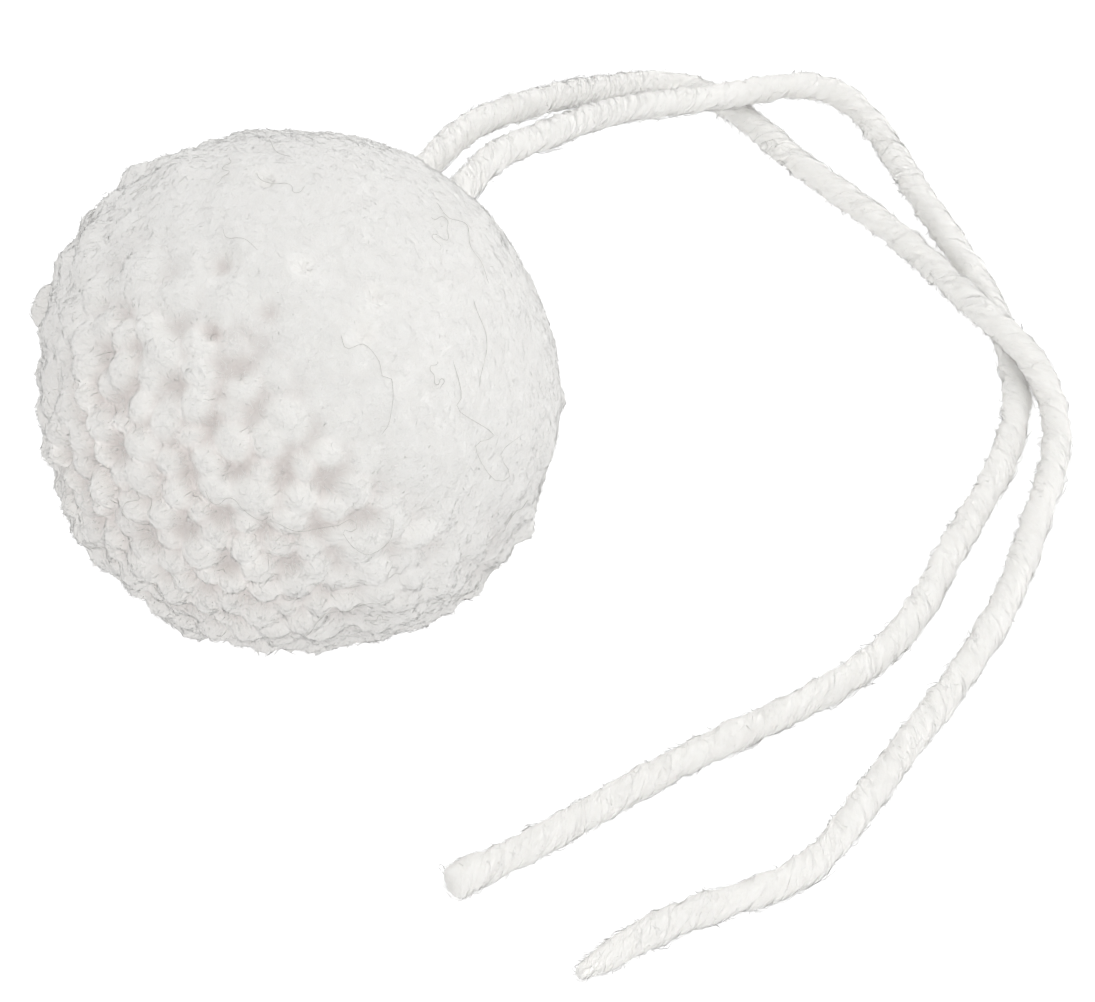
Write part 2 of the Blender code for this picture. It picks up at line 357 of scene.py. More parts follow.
def yarn_finish(name, settings, grain, tone=1.0, relief=0.00014, soft=0.0024, sheen=0.25):
    """Spun yarn: hair-fine streaks along the strand over soft lumps, in the relief and in the
    colour, which also drifts between lighter and duller. The streaks' share of the colour is
    painted shade between the fibres. The colour turns to the painted shade's colour by the
    attribute painted_shade, which paints shade in the creases. grain is how fine the streaks are
    along each part of yarn_place."""
    finish = Finish(name)
    drift = finish.noise(420.0)
    place = finish.node("ShaderNodeAttribute", {"attribute_name": "yarn_place"}, output="Vector")
    # deep is the share of painted shade kept on each point.
    deep = finish.node("ShaderNodeAttribute", {"attribute_name": "painted_shade"}, output="Fac")
    spun = finish.node("ShaderNodeVectorMath", {"operation": "MULTIPLY"}, {0: place, 1: grain})
    streaks = finish.noise(1.0, 3.0, 0.6, spun)
    lumps = finish.noise(1600.0)
    dull, light, painted_shade = (
        tuple(tone * c for c in colour)
        for colour in (settings.shade, settings.light, settings.painted_shade))
    # The streaks' share of this mix is painted shade between the fibres; the drift and lumps vary
    # the tone at random.
    shown = finish.ramp(0.3 * drift + 0.25 * lumps + 0.45 * streaks, 0.38, 0.6)
    colour = finish.mix(deep, finish.mix(shown, dull, light), painted_shade)
    rough = settings.roughness - 0.12 * streaks
    return finish.close(colour, rough, 0.7 * streaks + 0.5 * lumps, relief, sheen, soft=soft)


def fibre_finish(name, light, shade, roughness):
    """A loose fibre: its colour drifts a little from fibre to fibre and along each."""
    finish = Finish(name)
    tone = finish.ramp(finish.noise(900.0), 0.35, 0.62)
    fine = finish.noise(9000.0)
    colour = finish.mix(tone, shade, light)
    return finish.close(colour, roughness - 0.15 * fine, gloss=0.4)


def fuzz_finish(settings):
    """The loose fibres' material, made once and shared."""
    return bpy.data.materials.get("loose_fibre") or fibre_finish(
        "loose_fibre", tuple(settings.light), tuple(0.94 * c for c in settings.light),
        settings.roughness - 0.3)


def table_finish(name, base, glow):
    """Matt board: nearly one colour, with a faint cloud and tooth, and an even glow."""
    finish = Finish(name)
    cloud = finish.noise(9.0, 3.0)
    tooth = finish.noise(2500.0)
    colour = finish.mix(finish.ramp(cloud, 0.3, 0.7), tuple(0.985 * c for c in base), base)
    return finish.close(colour, 0.9 - 0.1 * tooth, tooth, 0.00001, glow=glow)


# ---- shapes

def unit(vectors):
    return vectors / np.linalg.norm(vectors, axis=-1, keepdims=True)


def seen_ways(places, radius):
    """Ways out of the ball for places on the side that the camera sees. A place is so many
    millimetres right and up, and as far to the front as a ball of this radius reaches there."""
    front = np.sqrt(np.clip((radius / MM)**2 - (places**2).sum(axis=1), 1.0, None))
    return unit(places[:, :1] * VIEW_RIGHT + places[:, 1:] * VIEW_UP + front[:, None] * VIEW_FRONT)


def smoothstep(values, low, high):
    """0 below low and 1 above high, easing in and out between: 3t squared - 2t cubed."""
    t = np.clip((values - low) / (high - low), 0.0, 1.0)
    return t * t * (3.0 - 2.0 * t)


def skin(rings, first, last):
    """Closed bodies over stacked rings. rings[i, j, k] is point k round ring j of body i, going
    round against the clock as seen from ahead. first[i] and last[i] close the two ends.
    Returns the points, and the faces as quads and triangles."""
    bodies, levels, around = rings.shape[:3]
    size = levels * around + 2
    start = np.arange(bodies)[:, None, None] * size
    here = start + np.arange(levels)[:, None] * around + np.arange(around)
    on = np.roll(here, -1, axis=2)
    quads = np.stack([here[:, :-1], on[:, :-1], on[:, 1:], here[:, 1:]], axis=-1).reshape(-1, 4)
    pole = np.broadcast_to(start[:, 0] + levels * around, (bodies, around))
    caps = np.concatenate([
        np.stack([pole, on[:, 0], here[:, 0]], axis=-1).reshape(-1, 3),
        np.stack([pole + 1, here[:, -1], on[:, -1]], axis=-1).reshape(-1, 3),
    ])
    points = np.concatenate(
        [rings.reshape(bodies, -1, 3), first[:, None], last[:, None]], axis=1).reshape(-1, 3)
    return points, quads, caps


def between(side, top, angle):
    """The way at this angle from side towards top."""
    return np.cos(angle)[..., None] * side + np.sin(angle)[..., None] * top


def strands(path, thickness):
    """Thin tubes: path[i, j] is point j of fibre i. A ring of radius thickness[i, j] / 2 stands
    square to the path at each inner point, and the end points close it."""
    travel = unit(path[:, 2:] - path[:, :-2])
    side = unit(np.cross(travel, ASKEW) + 1e-9)
    other = np.cross(travel, side)
    angle = np.arange(FIBRE_SIDES) * math.tau / FIBRE_SIDES
    half = 0.5 * thickness[:, 1:-1, None, None]
    rings = path[:, 1:-1, None] + half * between(side[:, :, None], other[:, :, None], angle)
    return skin(rings, path[:, 0], path[:, -1])


def lit_as(strand, ways, own):
    """The way that each point of these strands is shaded as facing: its strand's entry in ways,
    as light passes through and round a loose fibre, plus own times the way out of the strand."""
    points = strand[0].reshape(len(ways), -1, 3)
    out = unit(points - points.mean(axis=1, keepdims=True) + 1e-12)
    own = np.broadcast_to(own, len(ways))[:, None, None]
    return unit(ways[:, None] + own * out).reshape(-1, 3)


def above_table(path, clear=0.00004):
    """The path, held this clear of the table wherever it would lie lower."""
    path[..., 2] = np.maximum(path[..., 2], TABLE + clear)
    return path


def joined(bodies):
    """Several (points, quads, triangles) as one."""
    starts = np.cumsum([0, *(len(body[0]) for body in bodies)])
    quads, caps = (
        np.concatenate([body[kind] + start for body, start in zip(bodies, starts)])
        for kind in (1, 2))
    return np.concatenate([body[0] for body in bodies]), quads, caps


def new_piece(name, body, finishes, places=None, second_from=None, painted_shade=None, facing=None):
    """A smooth mesh object from points, quads and triangles. places is a vector for each point,
    kept as the attribute yarn_place, and painted_shade a number for each, the share of painted
    shade there. Faces on the points from second_from on take the second finish. facing is the way
    that each point is shaded as facing, or zero for its own."""
    points, quads, caps = body
    points = above_table(np.array(points, np.float64), 0.0)
    mesh = bpy.data.meshes.new(name)
    mesh.vertices.add(len(points))
    mesh.vertices.foreach_set("co", points.astype(np.float32).ravel())
    corners = np.concatenate([quads.ravel(), caps.ravel()]).astype(np.int32)
    mesh.loops.add(len(corners))
    mesh.loops.foreach_set("vertex_index", corners)
    starts = np.concatenate([
        np.arange(len(quads)) * 4, len(quads) * 4 + np.arange(len(caps)) * 3])
    mesh.polygons.add(len(starts))
    mesh.polygons.foreach_set("loop_start", starts.astype(np.int32))
    if second_from is not None:
        first_corner = np.concatenate([quads[:, 0], caps[:, 0]])
        mesh.polygons.foreach_set(
            "material_index", (first_corner >= second_from).astype(np.int32))
    mesh.update(calc_edges=True)
    mesh.shade_smooth()
    for label, kind, field, values in (
        ("yarn_place", "FLOAT_VECTOR", "vector", places), ("painted_shade", "FLOAT", "value", painted_shade),
    ):
        if values is not None:
            kept = mesh.attributes.new(label, kind, "POINT")
            kept.data.foreach_set(field, values.astype(np.float32).ravel())
    if facing is not None:
        mesh.normals_split_custom_set_from_vertices(facing.astype(np.float32))
    for finish in finishes:
        mesh.materials.append(finish)
    piece = bpy.data.objects.new(name, mesh)
    bpy.context.scene.collection.objects.link(piece)
    return piece


# ---- the ball's yarn ends

def spread_ways(count, fixed, seed, passes=26):
    """Unit vectors pushed apart over a sphere. Each is moved away from every other nearer than
    1.6 spacings, the more the nearer, and put back on the sphere. The fixed ones stay."""
    dice = np.random.default_rng(seed)
    ways = unit(dice.normal(size=(count, 3)))
    ways[:len(fixed)] = fixed
    spacing = math.sqrt(4.0 * math.pi / (0.866 * count))
    for _ in range(passes):
        apart = ways[:, None] - ways[None]
        far = np.linalg.norm(apart, axis=2) + 9.0 * np.eye(count)
        push = np.clip(1.0 - far / (1.6 * spacing), 0.0, None) / far
        ways = unit(ways + 0.22 * spacing * (apart * push[..., None]).sum(axis=1))
        ways[:len(fixed)] = fixed
    return ways


class Fleece:
    """The clipped surface of the ball, worked out from every yarn end on it. Arrays hold one
    entry for each end."""

    def __init__(self, settings):
        fixed = unit(np.array([TAIL_A_SEAT, TAIL_B_SEAT, PROUD_WAY]))
        way = spread_ways(settings.ends, fixed, settings.seed)[2:]  # the tails fill their cells
        dice = np.random.default_rng(settings.seed + 1)
        count = len(way)
        loose = self.looseness(way)
        spread = settings.trimmed + (settings.loose - settings.trimmed) * loose
        self.radius = settings.radius
        self.way = way
        self.length = self.general(way) + spread * dice.uniform(-0.9, 0.7, count)
        self.width = settings.end_width * (
            0.96 + dice.normal(0.0, 0.13, count).clip(-0.3, 0.3) - 0.04 * loose)
        held = sum(np.sin(way @ wave + phase) for wave, phase in zip(
            dice.normal(0.0, 5.0, (3, 3)), dice.uniform(0.0, math.tau, 3))) / 3.0
        self.crease = settings.crease * (
            0.4 + (0.75 + 0.25 * held) * loose + dice.uniform(-0.08, 0.08, count))
        self.blunt = 1.05 + 0.2 * loose
        self.side = unit(np.cross(way, unit(dice.normal(size=(count, 3)))))
        self.other = np.cross(way, self.side)
        self.oval = dice.uniform(-0.2, 0.2, count)
        self.slant = dice.normal(0.0, 0.06 + 0.06 * loose, (2, count)).clip(-0.14, 0.14)
        self.length[0] += PROUD_LONGER
        self.width[0] *= 0.95
        self.crease[0] = PROUD_CREASE
        self.blunt[0] = 2.2
        self.waves = dice.normal(0.0, 5200.0, (28, 3))
        self.phases = dice.uniform(0.0, math.tau, 28)

    def looseness(self, ways):
        """0 where the ends are trimmed to an even face, and 1 where they stand apart."""
        trimmed = smoothstep(ways @ unit(TRIM_WAY), 0.2, 0.86)
        return (1.0 - trimmed) * (0.28 + 0.72 * smoothstep(ways @ unit(LOOSE_WAY), 0.4, 0.95))

    def fill(self, loose):
        """How far the soft maximum raises the whole face: much where the ends are trimmed, and
        ever less as they stand apart."""
        return FILL * np.exp(-FILL_FALL * loose)

    def general(self, ways):
        """The ball's general radius along each way: even, with its few broad lumps."""
        return self.radius + sum(
            height * np.exp(-9.0 * (1.0 - ways @ unit(lump))) for lump, height in LUMPS)

    def look(self, ways):
        """How far out the surface is along each way. Let q be the squared distance from an end's
        middle line, a little oval, over its squared width, to the power of its bluntness. The
        end's height is its length, less its crease depth x (1 - e to the minus q), plus its slant
        x the distance / (1 + q). Its weight is e to the height x sharpness, faded out over the
        ends further off. The surface is the soft maximum of the ends and of a floor deep in the
        creases: the logarithm of the weights' sum, over the sharpness, which is less where the
        ends are trimmed. What that raises the face by is taken off. The tails draw it out round
        their seats, the gaps are pits, and small waves of no set direction are added."""
        far = []
        for part in np.array_split(ways, max(1, len(ways) // 6000)):
            near = part @ self.way.T
            x, y = (part @ self.side.T) * self.length, (part @ self.other.T) * self.length
            q = (x * (1.0 + self.oval))**2 + (y * (1.0 - self.oval))**2
            q = (q / self.width**2)**self.blunt
            height = self.length - self.crease * (1.0 - np.exp(-q))
            height = height + (self.slant[0] * x + self.slant[1] * y) / (1.0 + q)
            loose = self.looseness(part)
            sharp = SHARP + SHARPER * loose
            window = smoothstep(near, *COUNTED)
            top = np.where(window > 0.0, height, -1.0).max(axis=1)
            weight = window * np.exp(np.minimum((height - top[:, None]) * sharp[:, None], 0.0))
            floor = self.general(part) - FLOOR_DEPTH
            total = weight.sum(axis=1) + np.exp((floor - top) * sharp)
            far.append(top + np.log(total) / sharp - self.fill(loose))
        far = np.concatenate(far) + sum(
            SEAT_DRAW * np.exp(-SEAT_FALL * (1.0 - ways @ unit(seat)))
            for seat in (TAIL_A_SEAT, TAIL_B_SEAT))
        gaps = seen_ways(np.array(GAP_PLACES), self.radius)
        wide = 1.0 + 0.5 * np.sin(np.arange(len(gaps)) * 2.0)
        far -= (GAP_DEPTH * np.exp(-GAP_FALL / wide * (1.0 - ways @ gaps.T))).sum(axis=1)
        ripple = sum(
            np.sin((ways * far[:, None]) @ wave + phase)
            for wave, phase in zip(self.waves, self.phases))
        return far + RIPPLE * ripple

    def points(self, ways, lift=0.0):
        far = self.look(ways.reshape(-1, 3)).reshape(ways.shape[:-1])
        return CENTRE + ways * (far + lift)[..., None]


MADE = {}


def fleece(settings):
    """The ball's surface, worked out once and shared by the pieces that lie on it."""
    if "ball" not in MADE:
        MADE["ball"] = Fleece(settings)
    return MADE["ball"]


def cube_grid(cells):
    """Unit vectors over a sphere: the points of a cube's six gridded sides, spread by the
    tangent of an even angle and put on the sphere, each shared point once. Also the quads."""
    axis = np.arange(cells + 1)
    u, v = np.meshgrid(axis, axis, indexing="ij")
    flat = np.zeros_like(u)
    sides = [
        np.stack(side, axis=-1) for side in (
            (u, v, flat + cells), (v, u, flat), (flat + cells, u, v),
            (flat, v, u), (v, flat + cells, u), (u, flat, v))]
    lattice = np.stack(sides).reshape(-1, 3)
    kept, index = np.unique(lattice, axis=0, return_inverse=True)
    index = index.reshape(6, cells + 1, cells + 1)
    quads = np.stack(
        [index[:, :-1, :-1], index[:, 1:, :-1], index[:, 1:, 1:], index[:, :-1, 1:]],
        axis=-1).reshape(-1, 4)
    return unit(np.tan((kept / cells * 2.0 - 1.0) * math.pi / 4)), quads


def make_ball(settings, finish):
    """The clipped ball: the fleece's surface over a gridded sphere."""
    ball = fleece(settings)
    ways, quads = cube_grid(settings.fineness)
    points = ball.points(ways)
    places = ways * ball.radius / MM  # the fibres of every end run outwards
    deep = np.linalg.norm(points - CENTRE, axis=1)
    # Painted shade: the colour turns to the shade colour in the creases, and by a share of it all
    # over the side that leans away from the trimmed one, where less light falls.
    face = ball.general(ways) - ball.fill(ball.looseness(ways))
    sunk = smoothstep(face - deep, *CREASE_SHADE_DEPTHS)
    away = AWAY_SHADE * smoothstep(ways @ unit(TRIM_WAY), 0.5, -0.6)
    painted_shade = 1.0 - (1.0 - sunk) * (1.0 - away)
    MADE["skin"] = points, quads
    return new_piece(
        "clipped_ball", (points, quads, np.zeros((0, 3), int)), [finish], places, painted_shade=painted_shade)


def on_skin(dice, count):
    """Points strewn evenly over the made surface, with the normal there: a cell is picked by
    its area, and the place in it by two shares of its sides."""
    points, quads = MADE["skin"]
    corners = points[quads]
    across = np.cross(corners[:, 2] - corners[:, 0], corners[:, 3] - corners[:, 1])
    size = np.linalg.norm(across, axis=1)
    pick = np.searchsorted(np.cumsum(size) / size.sum(), dice.random(count)).clip(0, len(size) - 1)
    a, b = dice.random((2, count, 1))
    c = corners[pick]
    place = (c[:, 0] * (1 - a) + c[:, 1] * a) * (1 - b) + (c[:, 3] * (1 - a) + c[:, 2] * a) * b
    return place, across[pick] / size[pick, None]


def nap_paths(settings, ball):
    """Short fibre tips. Each is rooted just under the surface and leans away from it in three
    strides, which turn a little. Where the surface is steep it leans uphill, out of the crease."""
    dice = np.random.default_rng(settings.seed)
    count = settings.nap
    root, normal = on_skin(dice, count)
    way = unit(root - CENTRE)
    uphill = way - normal * (way * normal).sum(axis=1, keepdims=True)
    steep = np.linalg.norm(uphill, axis=1, keepdims=True)
    stray = np.cross(normal, unit(dice.normal(size=(count, 3))))
    uphill = unit(uphill + stray * (0.25 + 0.9 * np.exp(-4.0 * steep)) + 1e-9)
    sideways = np.cross(normal, uphill)
    rise = np.radians(dice.uniform(0.0, 20.0, count))
    curl, bend = dice.normal(0.0, 0.8, count), dice.normal(-0.12, 0.22, count)
    length = dice.uniform(0.0004, 0.0009, count) * (1.0 + 0.6 * fleece(ball).looseness(way))
    places = [root - normal * 0.00005, root + normal * 0.00001]
    for stride, share in enumerate((0.45, 0.55)):
        lift, to = rise + stride * bend, stride * curl
        step = between(between(uphill, sideways, to), normal, lift)
        places.append(places[-1] + step * (length * share)[:, None])
    path = above_table(np.stack(places, axis=1))
    thick = settings.thickness * dice.uniform(0.7, 1.2, (count, 1)) * np.array([1, 1, 0.75, 0.3])
    return path, thick, normal


def wandering(dice, count, steps, shortest, longest, turns):
    """Ways that wander over a sphere. Each sets out from a chance point, and its heading swings
    as three sines of rising pitch; its way at each step is the running sum of its strides."""
    share = np.linspace(0.0, 1.0, steps)
    start = unit(dice.normal(size=(count, 3)))
    east = unit(np.cross(start, unit(dice.normal(size=(count, 3)))))
    north = np.cross(start, east)
    heading = sum(
        turns * dice.uniform(0.4, 1.6, (count, 1)) * np.sin(
            math.tau * (pitch * share + dice.uniform(0.0, 1.0, (count, 1))))
        for pitch in (0.6, 1.5, 2.7))
    stride = dice.uniform(shortest, longest, (count, 1)) / 0.025 / steps
    x = np.cumsum(stride * np.cos(heading), axis=1)
    y = np.cumsum(stride * np.sin(heading), axis=1)
    return unit(start[:, None] + east[:, None] * x[..., None] + north[:, None] * y[..., None])


def curl_paths(settings, ball):
    """Longer fibres that wander over the surface, half sunk in it or just clear of it."""
    dice = np.random.default_rng(settings.seed + 2)
    ways = wandering(dice, settings.curls, 7, 0.0014, 0.0036, 0.8)
    share = np.linspace(0.0, 1.0, 7)
    lift = dice.exponential(0.00010, (settings.curls, 1)).clip(0.0, 0.0005) * share
    path = above_table(fleece(ball).points(ways, lift + 0.00001))
    thick = settings.thickness * dice.uniform(0.6, 1.1, (len(path), 1)) * (1.0 - 0.35 * share)
    return path, thick, ways[:, 3]


# ---- stray hairs

def through(points, samples):
    """A curve through the points: on the span from p1 to p2, with p0 before and p3 after, it is
    half of 2 p1 + (p2 - p0) t + (2 p0 - 5 p1 + 4 p2 - p3) t squared + (3 p1 - p0 - 3 p2 + p3)
    t cubed."""
    points = np.asarray(points, np.float64)
    more = np.vstack([2 * points[0] - points[1], points, 2 * points[-1] - points[-2]])
    p0, p1, p2, p3 = (more[i:len(more) - 3 + i, None] for i in range(4))
    t = np.linspace(0.0, 1.0, samples, endpoint=False)[:, None]
    curve = 0.5 * (
        2 * p1 + (p2 - p0) * t + (2 * p0 - 5 * p1 + 4 * p2 - p3) * t**2
        + (3 * p1 - p0 - 3 * p2 + p3) * t**3)
    return np.vstack([curve.reshape(-1, points.shape[1]), points[-1]])


def travelled(points):
    """How far along a line each of its points is."""
    return np.concatenate([[0.0], np.cumsum(np.linalg.norm(np.diff(points, axis=0), axis=1))])


def along(points, far, wanted):
    """The places at the wanted distances along a line whose points are this far along."""
    return np.stack([np.interp(wanted, far, axis) for axis in points.T], axis=-1)


def evenly(points, count):
    """count points at equal steps along a line."""
    far = travelled(points)
    return along(points, far, np.linspace(0.0, far[-1], count))


def hair_paths(settings, ball):
    """Hairs laid one by one on the seen side, then hairs laid by chance, all just clear of the
    surface. A point lower than the mean of its neighbours on the hair is raised to that."""
    dice = np.random.default_rng(settings.seed + 5)
    steps = 30
    laid = [seen_ways(evenly(through(route, 10), steps), ball.radius) for route in LAID_HAIRS]
    chance = wandering(dice, settings.hairs, steps, 0.003, 0.009, 0.75)
    ways = np.concatenate([np.array(laid), chance])
    far = fleece(ball).look(ways.reshape(-1, 3)).reshape(ways.shape[:2])
    for _ in range(6):
        held = np.pad(far, ((0, 0), (1, 1)), mode="edge")
        far = np.maximum(far, (held[:, :-2] + held[:, 2:]) / 2.0)
    share = np.linspace(0.0, 1.0, steps)
    lift = 0.00012 + 0.00012 * np.abs(np.sin(
        math.pi * (dice.uniform(0.5, 2.5, (len(ways), 1)) * share + dice.random((len(ways), 1)))))
    path = above_table(CENTRE + ways * (far + lift)[..., None], 0.00005)
    thick = np.broadcast_to(0.000062 - 0.00002 * share, path.shape[:2])
    return path, thick


# ---- the tails

def tail_line(seat, route, settings):
    """The yarn's middle line: straight out of the ball, through the route, then relaxed by
    averaging each point with its neighbours, as the yarn's own stiffness does."""
    start = CENTRE + unit(seat) * SEAT_RADIUS
    line = through([start, start + unit(seat) * LEAD, *(np.array(route) / TENTHS)], 16)
    length = np.linalg.norm(np.diff(line, axis=0), axis=1).sum()
    line = evenly(line, round(length / (settings.lay / 12)) + 1)
    for _ in range(36):
        line[1:-1] = (line[:-2] + 2.0 * line[1:-1] + line[2:]) / 4.0
    line[:, 2] = np.maximum(line[:, 2], settings.diameter / 2)
    return line


class Tail:
    """One tail as a line with a frame along it and the plies' unevenness."""

    def __init__(self, seat, route, end_share, settings, seed):
        self.settings, self.end_share = settings, end_share
        self.line = tail_line(seat, route, settings)
        self.travelled = travelled(self.line)
        self.length = self.travelled[-1]
        self.dice = np.random.default_rng(seed)
        self.phase = self.dice.uniform(0.0, math.tau, (8, PLIES))
        self.ply_radius = 0.37 * settings.diameter
        self.helix_radius = 0.125 * settings.diameter

    def place(self, s):
        """The middle line's point at distance s along."""
        return along(self.line, self.travelled, s)

    def frame(self, s):
        """The middle, way ahead, side and top at distance s along."""
        step = 0.0006
        travel = unit(self.place(s + step) - self.place(s - step) + 1e-12)
        side = unit(np.cross(np.array([0.0, 0.0, 1.0]), travel))
        return self.place(s), travel, side, np.cross(travel, side)

    def turn(self, s):
        """The first ply's turn about the yarn at s: it falls by a full turn in each lay."""
        return -math.tau * s / self.settings.lay

    def swell(self, s):
        """The yarn's thickness at s as a share: a little uneven, and its end's own share over
        the end's length."""
        near_end = np.clip(1.0 - (self.length - s) / END_LENGTH, 0.0, 1.0)
        uneven = 1.0 + 0.03 * np.sin(s * 540.0 + self.phase[6, 0]) + 0.03 * np.sin(
            s * 1270.0 + self.phase[6, 1])
        return uneven * (1.0 + (self.end_share - 1.0) * near_end**2)

    def reach(self, s, g):
        """Distance from the middle line to the outside, at distance s along and turned by g
        from the first ply. Each ply alone reaches h cos t + the root of (r squared - (h sin t)
        squared), with t the turn from it, h the helix radius and r its own radius, which swells
        and shrinks by sines along it. The surface is the soft maximum of the plies."""
        s, g = s[..., None], g[..., None]
        swell = self.swell(s)
        h = self.helix_radius * swell * (1.0 + 0.06 * np.sin(s * 700.0 + self.phase[3]))
        r = self.ply_radius * swell * (
            1.0 + 0.06 * np.sin(s * 1150.0 + self.phase[1]) + 0.04 * np.sin(
                s * 2600.0 + self.phase[2]))
        t = g - np.arange(PLIES) * math.tau / PLIES - 0.12 * np.sin(s * 830.0 + self.phase[0])
        t = (t + math.pi) % math.tau - math.pi
        root = np.sqrt(np.clip(r**2 - (h * np.sin(t))**2, 0, None))
        ply = np.where(np.abs(t) < 1.5, h * np.cos(t) + root, 0)
        sharp = 16000.0
        top = ply.max(axis=-1, keepdims=True)
        weight = np.exp((ply - top) * sharp).sum(axis=-1, keepdims=True)
        return (top + np.log(weight) / sharp)[..., 0]

    def surface(self):
        """The yarn's surface: rings of the plies' outline, which turn with the plies, and at the
        cut end rings that close in over a low dome."""
        levels, around = round(self.length / (self.settings.lay / 16)), 32
        s = np.concatenate([
            np.linspace(0.0, self.length, levels), np.full(len(CAP_PAST), self.length)])
        close = np.concatenate([np.ones(levels), CAP_SHARES])
        past = np.concatenate([np.zeros(levels), CAP_PAST])
        g = np.broadcast_to(np.arange(around) * math.tau / around, (len(s), around))
        at, travel, side, top = self.frame(s)
        turn = g + self.turn(s)[:, None]
        out = between(side[:, None], top[:, None], turn)
        reach = self.reach(np.broadcast_to(s[:, None], g.shape), g) * close[:, None]
        rings = at[:, None] + travel[:, None] * past[:, None, None] + out * reach[..., None]
        first, last = at[0] - travel[0] * 0.0002, at[-1] + travel[-1] * CAP_TIP
        # Where each point lies in its own ply, as if that stood straight, in millimetres. The
        # fibres of a ply wind the other way about it.
        ply = np.round(g / (math.pi / 2)) % PLIES
        t = (g - ply * math.pi / 2 + math.pi) % math.tau - math.pi
        x, y = reach * np.sin(t), reach * np.cos(t) - self.helix_radius
        spin = 520.0 * s[:, None]
        places = np.stack([
            x * np.cos(spin) - y * np.sin(spin), x * np.sin(spin) + y * np.cos(spin),
            np.broadcast_to(s[:, None], x.shape) + past[:, None]], axis=-1) / MM
        places = places + np.array([13.0, 7.0, 29.0]) * ply[..., None]
        places = np.concatenate([places.reshape(-1, 3), places[:1, 0], places[-1:, 0]])
        return skin(rings[None], first[None], last[None]), places

    def fibres(self, thickness):
        """Loose fibres along the tail and a fray at its cut end. Each runs along and round with
        the plies, swings a little, and lifts off towards its tip. Short ones are the nap."""
        dice, bodies, facing = self.dice, [], []
        frayed = 36
        for count, steps, shortest, longest, raised in (
            (self.settings.nap, 4, 0.0005, 0.0013, 0.00028),
            (self.settings.curls, 7, 0.0014, 0.0034, 0.00022),
        ):
            total = count + frayed
            share = np.linspace(0.0, 1.0, steps)
            start = dice.uniform(0.004, self.length - 0.0005, total)
            start[count:] = self.length - dice.uniform(0.0004, 0.0020, frayed)
            run = dice.uniform(shortest, longest, total) * np.where(
                dice.random(total) < 0.35, -1.0, 1.0)
            run[count:] = np.abs(run[count:]) * 0.8
            s = start[:, None] + run[:, None] * share
            past = np.clip(s - self.length, 0.0, CAP_PAST[-1])
            around = dice.uniform(0.0, math.tau, (total, 1)) + self.turn(s) * 0.9 + dice.uniform(
                0.15, 0.6, (total, 1)) * np.sin(
                    math.tau * dice.uniform(0.3, 1.1, (total, 1)) * share
                    + dice.uniform(0.0, math.tau, (total, 1)))
            inner = np.ones((total, 1))
            inner[count:] = np.sqrt(dice.uniform(0.1, 0.9, (frayed, 1)))
            lift = dice.exponential(raised, (total, 1)).clip(0.0, 0.0006) * share**1.2
            held = np.clip(s, 0.0, self.length)
            at, travel, side, top = self.frame(held)
            out = between(side, top, around)
            reach = self.reach(held, around - self.turn(held)) * inner + lift - 0.00001
            path = above_table(at + out * reach[..., None] + travel * past[..., None])
            thick = thickness * dice.uniform(0.8, 1.3, (total, 1)) * (1.0 - 0.5 * share)
            bodies.append(strands(path, thick))
            facing.append(lit_as(bodies[-1], unit(out[:, 0] + np.array([0.0, 0.0, 0.8])), 0.7))
        return joined(bodies), np.concatenate(facing)


def make_tail(name, tail, thickness, finishes):
    """The plies and the loose fibres on them as one cord, lying along its route."""
    plies, places = tail.surface()
    loose, facing = tail.fibres(thickness)
    places = np.concatenate([places, np.zeros((len(loose[0]), 3))])
    facing = np.concatenate([np.zeros((len(plies[0]), 3)), facing])
    return new_piece(
        name, joined([plies, loose]), finishes, places, len(plies[0]), facing=facing)


# ---- operators

